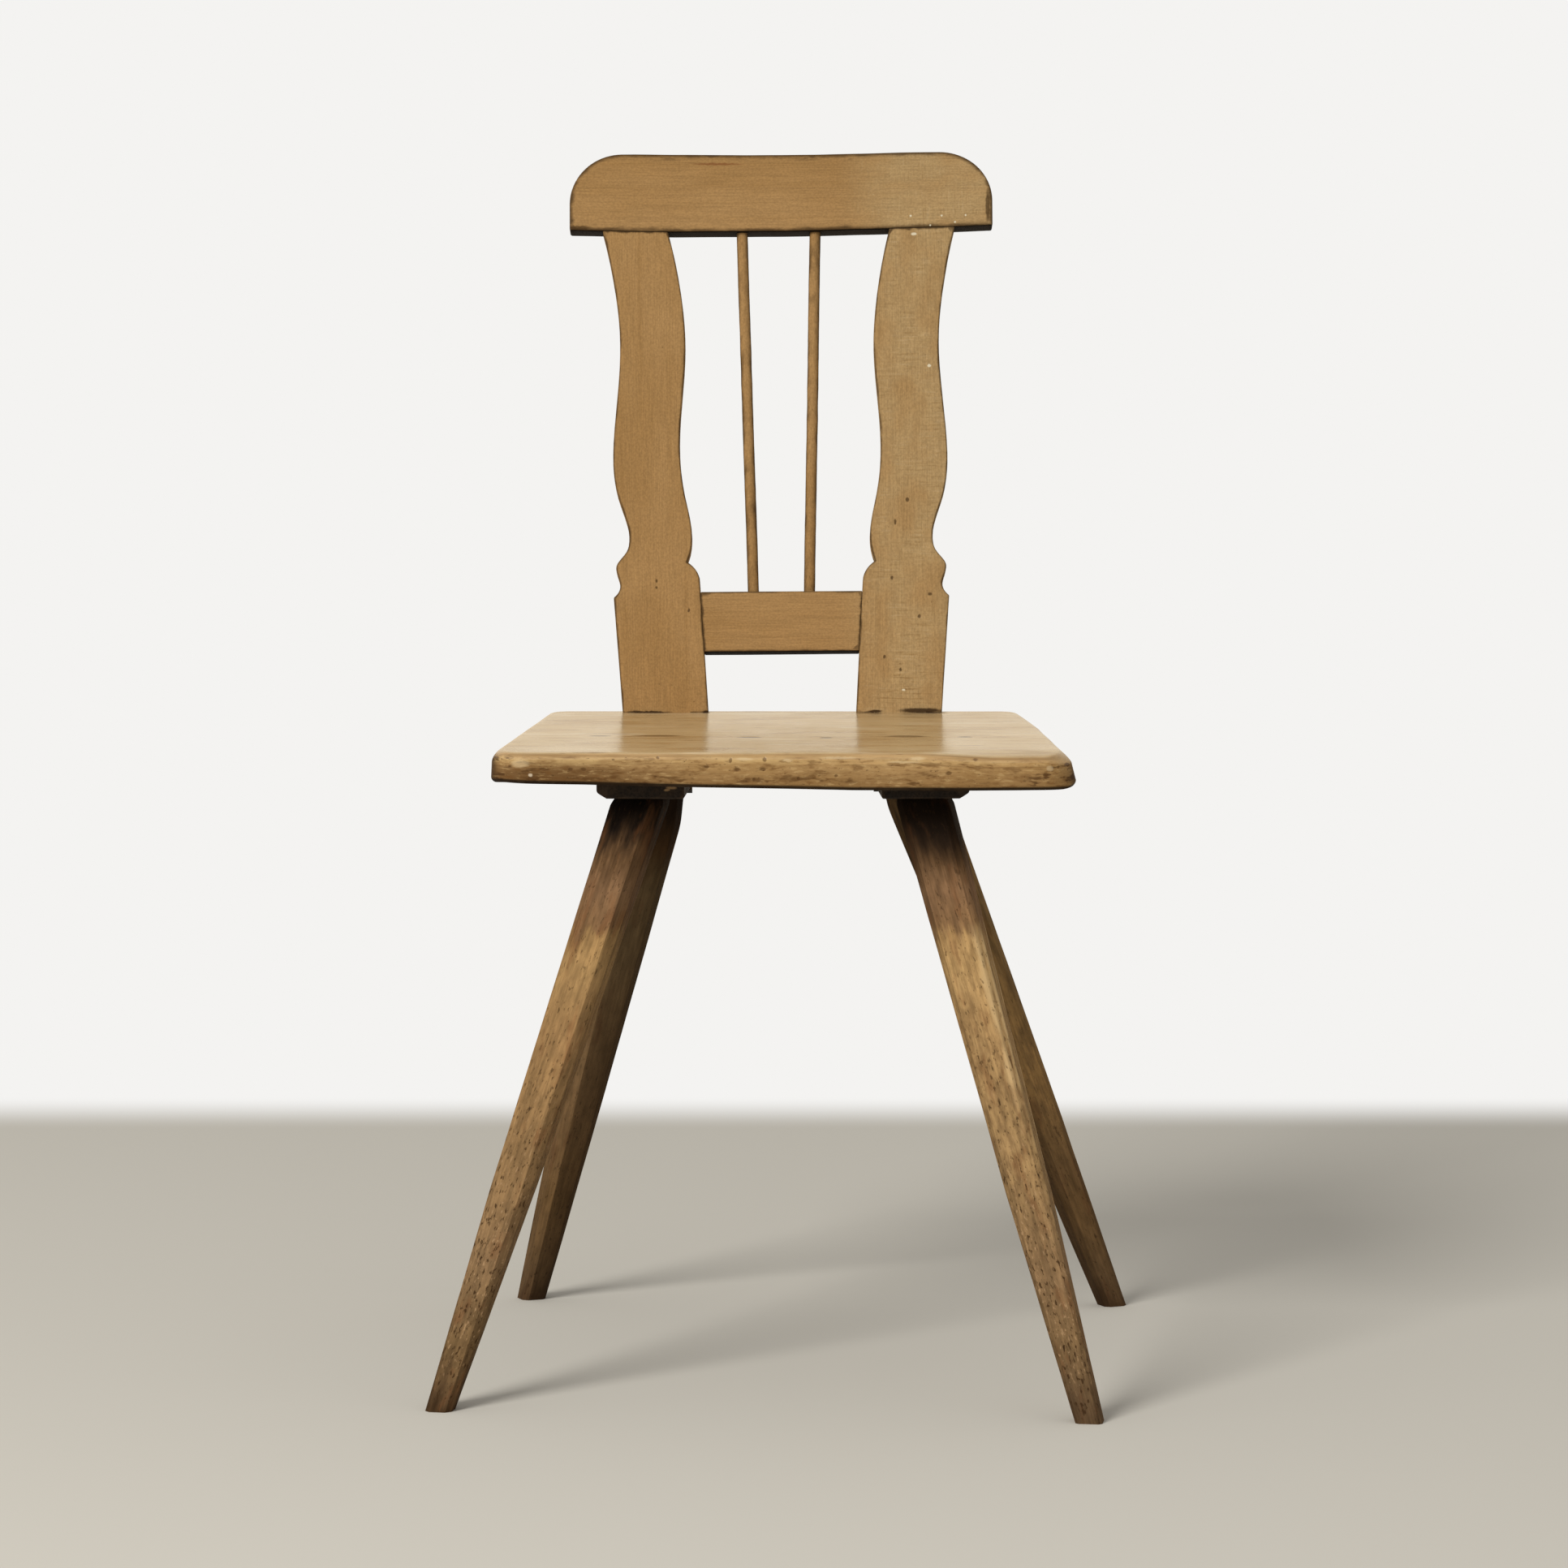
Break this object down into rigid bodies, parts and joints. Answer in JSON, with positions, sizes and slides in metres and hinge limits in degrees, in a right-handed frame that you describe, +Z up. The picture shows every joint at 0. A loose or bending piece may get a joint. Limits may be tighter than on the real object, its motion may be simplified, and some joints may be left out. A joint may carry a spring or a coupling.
{
  "type": "plank chair",
  "caption": "Rustic plank chair with a trapezoid seat on dovetailed battens, splayed tapered legs, and a raked back of sawn stiles, rails and thin spindles; seats one person.",
  "frame": {"origin": "on the floor, under the middle of the chair's overall box", "axes": "+Z up, -Y to the front of the chair, +X to the right as seen from the front"},
  "size_m": [0.5113, 0.5779, 0.8766],
  "materials": {
    "ochre_glazed_wood": "matt old ochre glaze, brushed on",
    "waxed_seat_wood": "satin wax, polished by use",
    "smoked_batten_wood": "dull, dark with age",
    "worn_leg_wood": "satin brown stain, worn on the edges",
    "split_peg_wood": "bare split hardwood, dull"
  },
  "bodies": {
    "root": {"left_stile": "ochre_glazed_wood", "right_stile": "ochre_glazed_wood", "crest_rail": "ochre_glazed_wood", "lower_rail": "ochre_glazed_wood", "left_spindle": "ochre_glazed_wood", "right_spindle": "ochre_glazed_wood", "seat_plank": "waxed_seat_wood", "left_batten": "smoked_batten_wood", "right_batten": "smoked_batten_wood", "front_left_leg": "worn_leg_wood", "front_right_leg": "worn_leg_wood", "rear_left_leg": "worn_leg_wood", "rear_right_leg": "worn_leg_wood", "leg_wedges": "split_peg_wood", "left_stile_key": "split_peg_wood", "right_stile_key": "split_peg_wood", "crest_pegs": "split_peg_wood", "rail_pegs": "split_peg_wood"}
  },
  "joints": []
}
